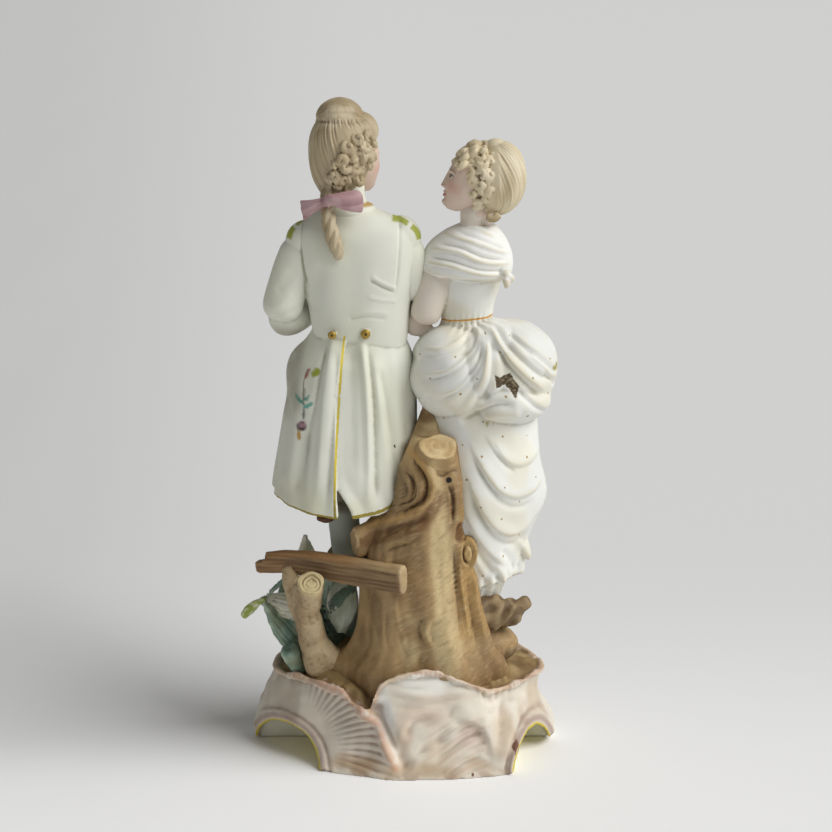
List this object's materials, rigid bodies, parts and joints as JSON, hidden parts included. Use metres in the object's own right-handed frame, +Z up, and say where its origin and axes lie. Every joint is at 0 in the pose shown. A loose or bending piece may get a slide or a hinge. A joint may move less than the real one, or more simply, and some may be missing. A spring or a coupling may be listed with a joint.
{
  "type": "bisque figure group",
  "caption": "Painted bisque figure group of a gentleman and a lady arm in arm before a tree stump, on a shell-worked base.",
  "frame": {"origin": "on the flat underside, below the stump, midway between the base's two end feet", "axes": "+X to the right across the side that shows the figures' backs, +Y away from that side towards the one they face, +Z up"},
  "size_m": [0.1618, 0.1163, 0.3283],
  "materials": {
    "bisque": "satin"
  },
  "bodies": {
    "root": {"figure_group": "bisque"}
  },
  "joints": []
}
